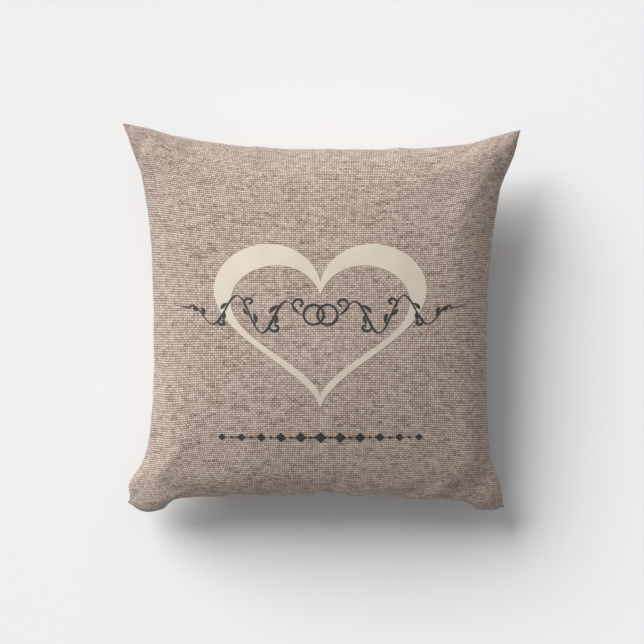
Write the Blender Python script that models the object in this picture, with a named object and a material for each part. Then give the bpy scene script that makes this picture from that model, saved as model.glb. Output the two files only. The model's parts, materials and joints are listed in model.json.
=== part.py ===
"""A small square linen cushion with film motifs, a concealed zip in its lower seam and an inner pillow.

Metres, +Z up. The cushion lies on its back with its front up. The origin is under its centre, on the surface
that it rests on. X runs along the zip, and the zip's seam is the one at -Y.
"""

import math

import bpy

# Cover, seen from above: each side is pulled in between its corners.
CORNER_WIDTH = 0.254
CORNER_LENGTH = 0.2495
PULL_IN_X = 0.0185
PULL_IN_Y = 0.01425
THICKNESS = 0.086
SEAM_HEIGHT_FAR = 0.046
SEAM_HEIGHT_ZIP = 0.034
SIDE_PULL_POWER = 2.4
ZIP_SIDE_PULL_POWER = 4.0
CROWN_POWER = 2.2
REST_FLATNESS = 1.2
GROOVE_EDGE_POWER = 8

# Cloth and seams
LINEN = 0.0008
LINEN_AT_SEAM = 0.002
SEAM_ALLOWANCE = 0.008
SEAM_CORNER_RADIUS = 0.008
SEAM_LINE_SHARE = 0.65
SEAM_GAP = 0.0004
THREAD = 0.0005
CLEARANCE = 0.0003
HEM_LAYERS = 1.75
LIP_SETBACK = LINEN / 4
LIP_LAYERS = 1.25

# Concealed zip, in the bottom of a groove along the lower seam
ZIP_TRAVEL = 0.136
GROOVE_DEPTH = 0.006
GROOVE_HALF = 0.010
SLIT_HALF = 0.001
TAPE_WIDTH = 0.011
TAPE = 0.0004
COIL_WIDTH = 0.0026
COIL_HEIGHT = 0.002
COIL_PITCH = 0.0025
COIL_RAIL_SHARE = 0.55
TOOTH_START = 0.2
TOOTH_END = 0.6
TOOTH_FOOT = 0.8
STOP_LENGTH = 0.002
TAPE_END = 0.006
HEM_WIDTH = 0.008
ZIP_STITCH_INSET = 0.0035

# Slider and pull
SLIDER_LENGTH = 0.009
SLIDER_WALL = 0.0008
SLIDER_PLATE = 0.0012
SLIDER_GAP = 0.00036
SLIDER_SINK = 0.0003
WALL_LENGTH_SHARE = 0.98
NECK_WIDTH = 0.0012
NECK_LENGTH = 0.003
LUG_HALF = 0.0017
CHEEK = 0.0005
CHEEK_OVER_PIN = 0.00072
CHEEK_SINK = 0.0000375
PIN_RADIUS = 0.00045
PIN_HEIGHT = 0.003
EYE_RADIUS = 0.00125
PULL_LENGTH = 0.016
PULL_WIDTH = 0.0044
PULL_THICKNESS = 0.0008
PULL_ROOT_SHARE = 0.9
PULL_NECK_REACH = 1.6
PULL_END_STEPS = 8

# Inner pillow
INSERT_CORNER_SHARE = 0.35
INSERT_GAP = 0.0032
TICKING = 0.0006
INSERT_ALLOWANCE = 0.006
FIBRE_RIM_GAP = 0.009
FIBRE_GAP = 0.0025
LABEL_WIDTH = 0.03
LABEL_LENGTH = 0.02
LABEL = 0.0004

# Film motifs on the front
FILM = 0.0002
FILM_GAP = 0.0004
HEART_WIDTH = 0.133
HEART_LENGTH = 0.103
HEART_CENTRE_Y = -0.003
HEART_STROKE = 0.0105
HEART_DROP = 0.003
SCROLL_Y = 0.004
SCROLL_START = 0.012
SCROLL_END = 0.092
SCROLL_THIN = 0.0007
SCROLL_LEAF = 0.0034
SCROLL_LEAVES = 6
SCROLL_WAVES = 2.5
SCROLL_RISE = 0.013
SCROLL_WAVE_SHARE = 0.6
SCROLL_SWEEP_SHARE = 0.9
SCROLL_WAVE_END = 0.87
SCROLL_TAPER = 0.5
LEAF_LEAN = 1.6
RING_RADIUS = 0.0068
RING_BAND = 0.0013
RING_SPACING = 0.0085
BORDER_Y = -0.0725
BORDER_LENGTH = 0.132
BORDER_THIN = 0.0007
BORDER_LOZENGE = 0.0068
BORDER_LOZENGES = 11
BORDER_SHRINK = 0.5

# Mesh fineness
ZIP_CELLS = 4
EDGE_CELLS = 4
HALF_CELLS = 7
RING_STEPS = 28
HEART_STEPS = 56
LEAF_STEPS = 10
PIN_STEPS = 16
PLAN_ROUNDS = 12

MID_WIDTH = CORNER_WIDTH - 2 * PULL_IN_X
MID_LENGTH = CORNER_LENGTH - 2 * PULL_IN_Y
SLIT_Y = MID_LENGTH / 2 - GROOVE_DEPTH
COIL_HALF = ZIP_TRAVEL / 2 + SLIDER_LENGTH / 2 + CLEARANCE
GROOVE_FLAT_HALF = ZIP_TRAVEL / 2 + PULL_LENGTH + EYE_RADIUS + SLIDER_LENGTH / 2
GROOVE_END_HALF = GROOVE_FLAT_HALF + GROOVE_HALF

# How far each piece of the zip lies out of the slit's plane
HEM_DEPTH = LINEN * HEM_LAYERS
TAPE_OUT = -HEM_DEPTH - CLEARANCE
TAPE_IN = TAPE_OUT - TAPE
COIL_OUT = TAPE_IN - CLEARANCE
COIL_IN = COIL_OUT - COIL_HEIGHT
PLATE_OUT = COIL_IN - SLIDER_GAP
PLATE_IN = PLATE_OUT - SLIDER_PLATE
LUG_BASE = PIN_HEIGHT - EYE_RADIUS - CLEARANCE
TAPE_HALF = COIL_HALF + TAPE_END

# The inner pillow's straight side stays clear of the slider, even where it starts to flare to its corners.
ZIP_SPACE = GROOVE_DEPTH - PLATE_IN + 2 * CLEARANCE
INSERT_FLARE = (
    PULL_IN_Y * INSERT_CORNER_SHARE * (COIL_HALF / (MID_WIDTH / 2 - ZIP_SPACE)) ** ZIP_SIDE_PULL_POWER
)
INSERT_INSET = ZIP_SPACE + INSERT_FLARE


class Layer:
    """One shell of the cushion, by how far it lies inside the cover's outer surface.

    groove says whether it makes room for the zip, and corner_share how far its corners reach out.
    """

    def __init__(self, plan_inset, height_inset, rim_lift, groove, corner_share):
        self.plan_inset = plan_inset
        self.height_inset = height_inset
        self.rim_lift = rim_lift
        self.groove = groove
        self.corner_share = corner_share


def insert_layer(plan_inset, height_inset, rim_lift):
    return Layer(
        INSERT_INSET + plan_inset, LINEN + INSERT_GAP + height_inset, rim_lift, False, INSERT_CORNER_SHARE
    )


COVER_OUTSIDE = Layer(0.0, 0.0, SEAM_GAP / 2, True, 1.0)
COVER_INSIDE = Layer(LINEN_AT_SEAM, LINEN, SEAM_GAP / 2 + LINEN, True, 1.0)
INSERT_OUTSIDE = insert_layer(0.0, 0.0, SEAM_GAP / 2)
INSERT_INSIDE = insert_layer(LINEN_AT_SEAM, TICKING, SEAM_GAP / 2 + TICKING)
FIBRE_OUTSIDE = insert_layer(INSERT_ALLOWANCE + FIBRE_RIM_GAP, TICKING + FIBRE_GAP, 0.0)


def clear_scene():
    for thing in list(bpy.data.objects):
        bpy.data.objects.remove(thing, do_unlink=True)


def material(name, colour, roughness, metallic=0.0):
    made = bpy.data.materials.new(name)
    made.use_nodes = True
    shader = made.node_tree.nodes["Principled BSDF"]
    shader.inputs["Base Color"].default_value = (*colour, 1.0)
    shader.inputs["Roughness"].default_value = roughness
    shader.inputs["Metallic"].default_value = metallic
    return made


def add_object(name, vertices, faces, finish, parent=None, origin=(0, 0, 0), smooth=True):
    """A mesh object whose vertices are given in world coordinates, with its origin at the given point."""
    local = [tuple(p[i] - origin[i] for i in range(3)) for p in vertices]
    mesh = bpy.data.meshes.new(name)
    mesh.from_pydata(local, [], faces)
    mesh.validate()
    made = bpy.data.objects.new(name, mesh)
    made.data.materials.append(finish)
    bpy.context.scene.collection.objects.link(made)
    if smooth:
        mesh.shade_smooth()
        mesh.set_sharp_from_angle(angle=math.radians(40))
    place_under(made, parent, origin)
    return made


def place_under(made, parent, origin):
    made.parent = parent
    home = parent.location if parent else (0, 0, 0)
    made.location = [origin[i] - home[i] for i in range(3)]


def add_empty(name, place):
    made = bpy.data.objects.new(name, None)
    made.location = place
    bpy.context.scene.collection.objects.link(made)
    return made


# The cushion's surface


def seam_height(y):
    """The sewn edge's height: lower at the zip's side, where the cover rolls under."""
    share = (y + SLIT_Y) / (MID_LENGTH / 2 + SLIT_Y)
    share = min(max(share, 0.0), 1.0)
    return SEAM_HEIGHT_ZIP + (SEAM_HEIGHT_FAR - SEAM_HEIGHT_ZIP) * share


def groove_share(x):
    """1 along the zip's groove, falling smoothly to 0 past its ends."""
    share = (GROOVE_END_HALF - abs(x)) / (GROOVE_END_HALF - GROOVE_FLAT_HALF)
    share = min(max(share, 0.0), 1.0)
    return share * share * (3 - 2 * share)


def half_width(v, layer, inset):
    """Half the cushion's width, least in the middle of a side and most at its corners."""
    return MID_WIDTH / 2 - inset + PULL_IN_X * layer.corner_share * abs(v) ** SIDE_PULL_POWER


def half_length(u, v, layer, inset):
    """Half the cushion's length. The zip's side stays straight for longer than the far one."""
    power = ZIP_SIDE_PULL_POWER if v < 0 else SIDE_PULL_POWER
    return MID_LENGTH / 2 - inset + PULL_IN_Y * layer.corner_share * abs(u) ** power


def plan_point(u, v, layer, further=0.0):
    """The place in plan of a point of a layer, or of one set further in by the given distance."""
    inset = layer.plan_inset + further
    return u * half_width(v, layer, inset), v * half_length(u, v, layer, inset)


def crown(u, v):
    """0 at the rim and 1 in the middle, with upright sides."""
    across = max(1 - abs(u) ** CROWN_POWER, 0.0)
    along = max(1 - abs(v) ** CROWN_POWER, 0.0)
    return math.sqrt(across * along)


def rim_height(x, y, v, side, layer):
    """Where a panel meets the seam: lifted away from it along the zip's groove."""
    groove = GROOVE_HALF * groove_share(x) * max(0.0, -v) ** GROOVE_EDGE_POWER if layer.groove else 0.0
    return seam_height(y) + side * (groove + layer.rim_lift)


def surface_point(u, v, side, layer):
    """A point of the front (side 1) or the back (side -1) of a layer."""
    x, y = plan_point(u, v, layer)
    rim = rim_height(x, y, v, side, layer)
    if side > 0:
        rise = crown(u, v)
        limit = THICKNESS - layer.height_inset
    else:
        rise = min(1.0, REST_FLATNESS * crown(u, v))
        limit = layer.height_inset
    return x, y, rim + (limit - rim) * rise


def front_height(x, y):
    """The height of the cover's front above a place in plan."""
    u, v = 0.0, 0.0
    for _ in range(PLAN_ROUNDS):
        u = x / half_width(v, COVER_OUTSIDE, 0.0)
        v = y / half_length(u, y, COVER_OUTSIDE, 0.0)
    return surface_point(u, v, 1, COVER_OUTSIDE)[2]


def across_steps():
    """Steps from one side to the other, with some of them on the ends of the zip's groove."""
    groove = GROOVE_FLAT_HALF / (CORNER_WIDTH / 2)
    start = math.asin(groove)
    half = [groove * i / ZIP_CELLS for i in range(ZIP_CELLS)]
    half += [
        math.sin(start + (math.pi / 2 - start) * i / EDGE_CELLS)
        for i in range(EDGE_CELLS + 1)
    ]
    return [-s for s in reversed(half[1:])] + half


def along_steps():
    return [math.sin(math.pi / 2 * i / HALF_CELLS) for i in range(-HALF_CELLS, HALF_CELLS + 1)]


def rim_keys(columns, rows):
    """The grid places round the edge, once round."""
    keys = [(i, 0) for i in range(columns)]
    keys += [(columns - 1, j) for j in range(1, rows)]
    keys += [(i, rows - 1) for i in range(columns - 2, -1, -1)]
    keys += [(0, j) for j in range(rows - 2, 0, -1)]
    return keys


class Sheet:
    """Vertices and faces under construction."""

    def __init__(self):
        self.vertices = []
        self.faces = []

    def add(self, point):
        self.vertices.append(point)
        return len(self.vertices) - 1

    def face(self, corners, flip):
        self.faces.append(tuple(reversed(corners)) if flip else tuple(corners))

    def grid(self, points, flip):
        """Adds a grid of points and its faces, and gives the numbers of its vertices."""
        numbers = [[self.add(p) for p in column] for column in points]
        for i in range(len(points) - 1):
            for j in range(len(points[0]) - 1):
                corners = (
                    numbers[i][j],
                    numbers[i + 1][j],
                    numbers[i + 1][j + 1],
                    numbers[i][j + 1],
                )
                self.face(corners, flip)
        return numbers

    def ring(self, first, second, flip):
        """Joins two closed loops of vertices."""
        count = len(first)
        for k in range(count):
            after = (k + 1) % count
            self.face((first[k], first[after], second[after], second[k]), flip)


def layer_grid(side, layer):
    return [
        [surface_point(u, v, side, layer) for v in along_steps()] for u in across_steps()
    ]


def turned_in_loops(side, layer, allowance, thickness):
    """The loops that a panel's edge follows inside its rim, as (outer skin, inner skin) pairs.

    On three sides they are the flat seam allowance. Along the zip the first is the lip of the slit, and
    the second is the end of the hem behind it.
    """
    us, vs = across_steps(), along_steps()
    keys = rim_keys(len(us), len(vs))
    loops = []
    for stage in (1, 2):
        outer, inner = [], []
        for i, j in keys:
            x, y = plan_point(us[i], vs[j], layer, allowance * stage / 2)
            z = seam_height(y) + side * SEAM_GAP / 2
            flat = (x, y, z)
            flat_inner = (x, y, z + side * thickness)
            share = groove_share(x) if layer.groove and j == 0 else 0.0
            lip, lip_inner = hem_points(x, side, stage)
            outer.append(mix(flat, lip, share))
            inner.append(mix(flat_inner, lip_inner, share))
        loops.append((outer, inner))
    return loops


def hem_points(x, side, stage):
    """The hem's two skins: at the lip of the slit (stage 1) and at its far end (stage 2)."""
    if stage == 1:
        outer = zip_point(x, -LIP_SETBACK, side * SLIT_HALF)
        inner = zip_point(x, -LINEN, side * (SLIT_HALF + LINEN * LIP_LAYERS))
    else:
        outer = zip_point(x, -HEM_DEPTH, side * (SLIT_HALF + HEM_WIDTH))
        inner = zip_point(x, -HEM_DEPTH + LINEN, side * (SLIT_HALF + HEM_WIDTH))
    return outer, inner


def mix(a, b, share):
    return tuple(p + (q - p) * share for p, q in zip(a, b))


def zip_point(x, outward, up):
    """A point near the zip, from how far it stands out of the slit's plane and above its middle."""
    return x, -SLIT_Y - outward, SEAM_HEIGHT_ZIP + up


def add_panel(name, side, outside, inside, allowance, thickness, finish):
    """One sewn panel: a domed sheet whose edge turns in along the seam."""
    sheet = Sheet()
    down = side < 0
    outer = sheet.grid(layer_grid(side, outside), down)
    inner = sheet.grid(layer_grid(side, inside), not down)
    keys = rim_keys(len(outer), len(outer[0]))
    outer_loop = [outer[i][j] for i, j in keys]
    inner_loop = [inner[i][j] for i, j in keys]
    turned = turned_in_loops(side, outside, allowance, thickness)
    for outer_points, inner_points in turned:
        outer_next = [sheet.add(p) for p in outer_points]
        inner_next = [sheet.add(p) for p in inner_points]
        sheet.ring(outer_loop, outer_next, not down)
        sheet.ring(inner_loop, inner_next, down)
        outer_loop, inner_loop = outer_next, inner_next
    sheet.ring(outer_loop, inner_loop, not down)
    return add_object(name, sheet.vertices, sheet.faces, finish)


def add_filling(finish):
    """The filling: two domes that share their rim."""
    sheet = Sheet()
    front = sheet.grid(layer_grid(1, FIBRE_OUTSIDE), False)
    points = layer_grid(-1, FIBRE_OUTSIDE)
    last_i, last_j = len(points) - 1, len(points[0]) - 1
    back = [
        [
            front[i][j] if i in (0, last_i) or j in (0, last_j) else sheet.add(point)
            for j, point in enumerate(column)
        ]
        for i, column in enumerate(points)
    ]
    for i in range(last_i):
        for j in range(last_j):
            sheet.face((back[i][j], back[i + 1][j], back[i + 1][j + 1], back[i][j + 1]), True)
    return add_object("fibre_fill", sheet.vertices, sheet.faces, finish)


def add_tube(name, points, diameter, closed, finish):
    """A thread: a round tube through the points."""
    curve = bpy.data.curves.new(name, "CURVE")
    curve.dimensions = "3D"
    curve.bevel_depth = diameter / 2
    curve.bevel_resolution = 1
    curve.use_fill_caps = not closed
    spline = curve.splines.new("POLY")
    spline.points.add(len(points) - 1)
    spline.use_cyclic_u = closed
    for place, point in zip(spline.points, points):
        place.co = (*point, 1.0)
    made = bpy.data.objects.new(name, curve)
    curve.materials.append(finish)
    bpy.context.scene.collection.objects.link(made)
    return made


def seam_path(side, layer, further, lift, open_at_zip):
    """A path round the seam allowance, rounded at its corners and open along the zip if asked."""
    round_share = SEAM_CORNER_RADIUS / (CORNER_WIDTH / 2 - layer.plan_inset - further)
    steps = [s for s in across_steps() if abs(s) < 1 - round_share]
    places = []
    for turn in range(4):
        places += [edge_place(turn, s) for s in steps]
    points = []
    for u, v in places:
        x, y = plan_point(u, v, layer, further)
        points.append((x, y, seam_height(y) + side * lift))
    if not open_at_zip:
        return points
    start = next(k for k, p in enumerate(points) if p[1] < -SLIT_Y / 2 and p[0] > GROOVE_END_HALF)
    turned = points[start:] + points[:start]
    return [p for p in turned if not (p[1] < -SLIT_Y / 2 and abs(p[0]) <= GROOVE_END_HALF)]


def edge_place(turn, s):
    """A place on the unit square's edge: the side at -Y, +X, +Y and -X in turn, once round."""
    return ((s, -1.0), (1.0, s), (-s, 1.0), (-1.0, -s))[turn]


# Films on the front


def add_film(name, left, right, closed, layer, finish):
    """A thin film between two edge lines in plan, laid on the cover's front."""
    sheet = Sheet()
    bottom = FILM_GAP + layer * (FILM + FILM_GAP)
    rails = []
    for rail, lift in ((left, bottom), (right, bottom), (right, bottom + FILM), (left, bottom + FILM)):
        rails.append([sheet.add((x, y, front_height(x, y) + lift)) for x, y in rail])
    count = len(left)
    for k in range(count if closed else count - 1):
        after = (k + 1) % count
        for first, second in zip(rails, rails[1:] + rails[:1]):
            sheet.face((first[k], first[after], second[after], second[k]), False)
    if not closed:
        sheet.face([rail[0] for rail in rails], False)
        sheet.face([rail[-1] for rail in rails], True)
    return add_object(name, sheet.vertices, sheet.faces, finish, smooth=False)


def stroke_edges(points, left_widths, right_widths, closed):
    """The two edge lines of a stroke along points, each edge at its own distance from them."""
    left, right = [], []
    count = len(points)
    for k, (x, y) in enumerate(points):
        if closed:
            before, after = points[k - 1], points[(k + 1) % count]
        else:
            before, after = points[max(k - 1, 0)], points[min(k + 1, count - 1)]
        along = (after[0] - before[0], after[1] - before[1])
        size = math.hypot(*along)
        normal = (-along[1] / size, along[0] / size)
        left.append((x + normal[0] * left_widths[k], y + normal[1] * left_widths[k]))
        right.append((x - normal[0] * right_widths[k], y - normal[1] * right_widths[k]))
    return left, right


def heart_outline(steps):
    """Points of the usual heart curve, from its lower tip, scaled to fill a unit square."""
    width, length, middle = 32, 29, 2.5
    points = []
    for k in range(steps):
        turn = math.pi + 2 * math.pi * (k + 0.5) / steps
        x = 16 * math.sin(turn) ** 3
        y = 13 * math.cos(turn) - 5 * math.cos(2 * turn) - 2 * math.cos(3 * turn) - math.cos(4 * turn)
        points.append((-x / width, (y + middle) / length))
    return points


def add_heart(finish):
    """A heart drawn as with a broad pen: a smaller heart, set a little lower, is cut out of a larger one."""
    outer, inner = [], []
    for x, y in heart_outline(HEART_STEPS):
        outer.append((x * HEART_WIDTH, y * HEART_LENGTH + HEART_CENTRE_Y))
        inner_y = y * (HEART_LENGTH - 2 * HEART_STROKE) + HEART_CENTRE_Y - HEART_DROP
        inner.append((x * (HEART_WIDTH - 2 * HEART_STROKE), inner_y))
    add_film("heart_motif", inner, outer, True, 0, finish)


def add_scroll(name, hand, finish):
    """A waving stem with leaves on alternate sides, from near the middle out to one side."""
    steps = SCROLL_LEAVES * LEAF_STEPS
    points, upper, lower = [], [], []
    for k in range(steps + 1):
        share = k / steps
        x = hand * (SCROLL_START + (SCROLL_END - SCROLL_START) * share)
        fade = math.sin(math.pi * share / SCROLL_WAVE_END) ** 0.5 if share < SCROLL_WAVE_END else 0.0
        wave = math.sin(2 * math.pi * SCROLL_WAVES * share)
        lift = SCROLL_RISE * SCROLL_SWEEP_SHARE * share ** 3
        points.append((x, SCROLL_Y + SCROLL_RISE * SCROLL_WAVE_SHARE * wave * fade + lift))
        leaf = leaf_bump(share * SCROLL_LEAVES)
        on_upper = int(share * SCROLL_LEAVES) % 2 == 0
        taper = SCROLL_THIN / 2 * (1 - SCROLL_TAPER * share)
        swell = SCROLL_LEAF * leaf * (1 - share)
        upper.append(taper + (swell if on_upper else 0.0))
        lower.append(taper + (0.0 if on_upper else swell))
    if hand > 0:
        left, right = stroke_edges(points, upper, lower, False)
    else:
        left, right = stroke_edges(points, lower, upper, False)
    add_film(name, left, right, False, 1, finish)


def leaf_bump(place):
    """A leaf's outline along its stem: it swells slowly and falls back fast, once in each step."""
    share = place - math.floor(place)
    return math.sin(math.pi * share ** LEAF_LEAN) ** 2


def add_ring_motif(name, centre_x, layer, finish):
    outer, inner = [], []
    for k in range(RING_STEPS):
        turn = 2 * math.pi * k / RING_STEPS
        for line, radius in ((outer, RING_RADIUS), (inner, RING_RADIUS - RING_BAND)):
            line.append((centre_x + radius * math.cos(turn), SCROLL_Y + radius * math.sin(turn)))
    add_film(name, inner, outer, True, layer, finish)


def add_border(finish):
    """A thin rule with lozenges on it, the middle one the largest."""
    points, widths = [], []
    pitch = BORDER_LENGTH / BORDER_LOZENGES
    middle = (BORDER_LOZENGES - 1) / 2
    for index in range(BORDER_LOZENGES):
        centre = (index - middle) * pitch
        size = BORDER_LOZENGE * (1 - BORDER_SHRINK * abs(index - middle) / middle)
        for offset, width in ((-size / 2, BORDER_THIN), (0.0, size), (size / 2, BORDER_THIN)):
            points.append((centre + offset, BORDER_Y))
            widths.append(width / 2)
    left, right = stroke_edges(points, widths, widths, False)
    add_film("border_motif", left, right, False, 0, finish)


# Zip


def add_box(name, low, high, finish, parent=None, origin=(0, 0, 0)):
    return add_object(name, *box_shape(low, high), finish, parent, origin, smooth=False)


def box_shape(low, high):
    xs, ys, zs = [sorted(pair) for pair in zip(low, high)]
    vertices = [(x, y, z) for x in xs for y in ys for z in zs]
    faces = [(0, 1, 3, 2), (4, 6, 7, 5), (0, 4, 5, 1), (2, 3, 7, 6), (0, 2, 6, 4), (1, 5, 7, 3)]
    return vertices, faces


def zip_box(name, x_range, outward_range, up_range, finish, parent=None, origin=(0, 0, 0)):
    low = zip_point(x_range[0], outward_range[0], up_range[0])
    high = zip_point(x_range[1], outward_range[1], up_range[1])
    return add_box(name, low, high, finish, parent, origin)


def add_tape(name, side, finish):
    near = side * SLIT_HALF
    far = side * (SLIT_HALF + TAPE_WIDTH)
    zip_box(name, (-TAPE_HALF, TAPE_HALF), (TAPE_IN, TAPE_OUT), (near, far), finish)


def add_zip_stitch(name, side, finish):
    """The thread that holds a tape to the hem, on the tape's inner face and clear of the slider."""
    out = TAPE_IN - CLEARANCE - THREAD / 2
    up = side * (SLIT_HALF + TAPE_WIDTH - ZIP_STITCH_INSET)
    points = [zip_point(x, out, up) for x in (-TAPE_HALF, 0.0, TAPE_HALF)]
    add_tube(name, points, THREAD, False, finish)


def add_coil(name, side, finish):
    """A coil row as one body: a rail with a tooth for each turn of the coil."""
    turns = int(2 * COIL_HALF / COIL_PITCH)
    start = -turns * COIL_PITCH / 2
    near = SLIT_HALF
    back = near + COIL_WIDTH * (1 - COIL_RAIL_SHARE)
    far = near + COIL_WIDTH
    outline = []
    for k in range(turns):
        left = start + k * COIL_PITCH
        outline += [(left, back), (left + COIL_PITCH * TOOTH_START, near)]
        outline += [(left + COIL_PITCH * TOOTH_END, near), (left + COIL_PITCH * TOOTH_FOOT, back)]
    outline += [(-start, back), (-start, far), (start, far)]
    sheet = Sheet()
    low = [sheet.add(zip_point(x, COIL_IN, side * up)) for x, up in outline]
    high = [sheet.add(zip_point(x, COIL_OUT, side * up)) for x, up in outline]
    sheet.face(low, side > 0)
    sheet.face(high, side < 0)
    sheet.ring(low, high, side < 0)
    add_object(name, sheet.vertices, sheet.faces, finish, smooth=False)


def add_stops(finish):
    end = COIL_HALF + CLEARANCE
    top = (end, end + STOP_LENGTH)
    across = (SLIT_HALF, SLIT_HALF + COIL_WIDTH)
    depth = (COIL_IN, COIL_OUT)
    zip_box("zip_top_stop_front", top, depth, across, finish)
    zip_box("zip_top_stop_back", top, depth, (-across[1], -across[0]), finish)
    zip_box("zip_bottom_stop", (-top[1], -top[0]), depth, (-across[1], across[1]), finish)


def join_by_union(body, others):
    """Joins pieces that overlap into one body, and hides the pieces."""
    for other in others:
        cut = body.modifiers.new(other.name, "BOOLEAN")
        cut.operation = "UNION"
        cut.solver = "EXACT"
        cut.object = other
        other.hide_render = True
        other.display_type = "WIRE"


def add_slider(joint, finish):
    """A channel that wraps the coil rows from behind, a neck through the slit, and a lug with its pin."""
    home = tuple(joint.location)
    x = home[0]
    half = SLIDER_LENGTH / 2
    wall_in = SLIT_HALF + COIL_WIDTH + SLIDER_GAP
    wall_out = wall_in + SLIDER_WALL
    sink = SLIDER_SINK
    wall_half = half * WALL_LENGTH_SHARE
    plate = zip_box(
        "zip_slider", (x - half, x + half), (PLATE_IN, PLATE_OUT), (-wall_out, wall_out), finish, joint, home
    )
    pieces = []
    for side in (-1, 1):
        pieces.append(
            zip_box(
                f"slider_wall_{side}",
                (x - wall_half, x + wall_half),
                (PLATE_IN + sink, TAPE_IN - SLIDER_GAP),
                (side * wall_in, side * (wall_out - sink / 2)),
                finish, joint, home,
            )
        )
        pieces.append(
            zip_box(
                f"slider_cheek_{side}",
                (x - PIN_RADIUS * 2, x + PIN_RADIUS * 2),
                (LUG_BASE - sink, PIN_HEIGHT + CHEEK_OVER_PIN),
                (side * (LUG_HALF - CHEEK), side * (LUG_HALF - CHEEK_SINK)),
                finish, joint, home,
            )
        )
    pieces.append(
        zip_box(
            "slider_neck",
            (x - NECK_LENGTH / 2, x + NECK_LENGTH / 2),
            (PLATE_OUT - sink, LUG_BASE - sink),
            (-NECK_WIDTH / 2, NECK_WIDTH / 2),
            finish, joint, home,
        )
    )
    pieces.append(
        zip_box(
            "slider_lug",
            (x - NECK_LENGTH / 2 - sink, x + NECK_LENGTH / 2 + sink),
            (LUG_BASE - 2 * sink, LUG_BASE),
            (-LUG_HALF, LUG_HALF),
            finish, joint, home,
        )
    )
    pin_centre = zip_point(x, PIN_HEIGHT, 0.0)
    pin = add_cylinder("slider_pin", pin_centre, PIN_RADIUS, 2 * LUG_HALF - CHEEK, finish, joint, home)
    pieces.append(pin)
    join_by_union(plate, pieces)
    return plate


def cylinder_shape(centre, radius, length):
    """A cylinder along Z."""
    steps = PIN_STEPS
    sheet = Sheet()
    loops = []
    for z in (-length / 2, length / 2):
        loops.append(
            [
                sheet.add(
                    (
                        centre[0] + radius * math.cos(2 * math.pi * k / steps),
                        centre[1] + radius * math.sin(2 * math.pi * k / steps),
                        centre[2] + z,
                    )
                )
                for k in range(steps)
            ]
        )
    sheet.face(loops[0], True)
    sheet.face(loops[1], False)
    sheet.ring(loops[0], loops[1], False)
    return sheet.vertices, sheet.faces


def add_cylinder(name, centre, radius, length, finish, parent, origin):
    return add_object(name, *cylinder_shape(centre, radius, length), finish, parent, origin)


def add_pull(hinge, finish):
    """A slim tab with an eye round the slider's pin, lying along the chain."""
    home = tuple(hinge.location)
    eye_width = 2 * (LUG_HALF - CHEEK - CLEARANCE)
    eye = add_cylinder("zip_pull", home, EYE_RADIUS, eye_width, finish, hinge, home)
    hole = add_cylinder("pull_eye_hole", home, PIN_RADIUS + CLEARANCE, eye_width * 2, finish, hinge, home)
    tab = add_object(
        "pull_tab", *pull_tab_shape(home, eye_width), finish, hinge, home, smooth=False
    )
    join_by_union(eye, [tab])
    cut = eye.modifiers.new("eye hole", "BOOLEAN")
    cut.operation = "DIFFERENCE"
    cut.solver = "EXACT"
    cut.object = hole
    hole.hide_render = True
    hole.display_type = "WIRE"
    return eye


def pull_tab_shape(home, eye_width):
    """The tab: narrow where it leaves the eye, then widening to a rounded end."""
    end_radius = PULL_WIDTH / 2
    root = eye_width / 2 * PULL_ROOT_SHARE
    start, neck = -2 * PIN_RADIUS, -EYE_RADIUS * PULL_NECK_REACH
    outline = [(start, -root), (neck, -root)]
    centre = PULL_LENGTH - end_radius
    for k in range(PULL_END_STEPS + 1):
        turn = -math.pi / 2 + math.pi * k / PULL_END_STEPS
        outline.append((-centre - end_radius * math.cos(turn), end_radius * math.sin(turn)))
    outline += [(neck, root), (start, root)]
    sheet = Sheet()
    half = PULL_THICKNESS / 2
    near = [sheet.add((home[0] + x, home[1] + half, home[2] + z)) for x, z in outline]
    far = [sheet.add((home[0] + x, home[1] - half, home[2] + z)) for x, z in outline]
    sheet.face(near, False)
    sheet.face(far, True)
    sheet.ring(near, far, True)
    return sheet.vertices, sheet.faces


# Inner pillow


def add_insert_label(finish):
    """A blank label lying flat under the inner pillow's back."""
    low_z = LINEN + CLEARANCE
    low = (-LABEL_WIDTH / 2, -LABEL_LENGTH / 2, low_z)
    high = (LABEL_WIDTH / 2, LABEL_LENGTH / 2, low_z + LABEL)
    add_box("insert_label", low, high, finish)


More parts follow.
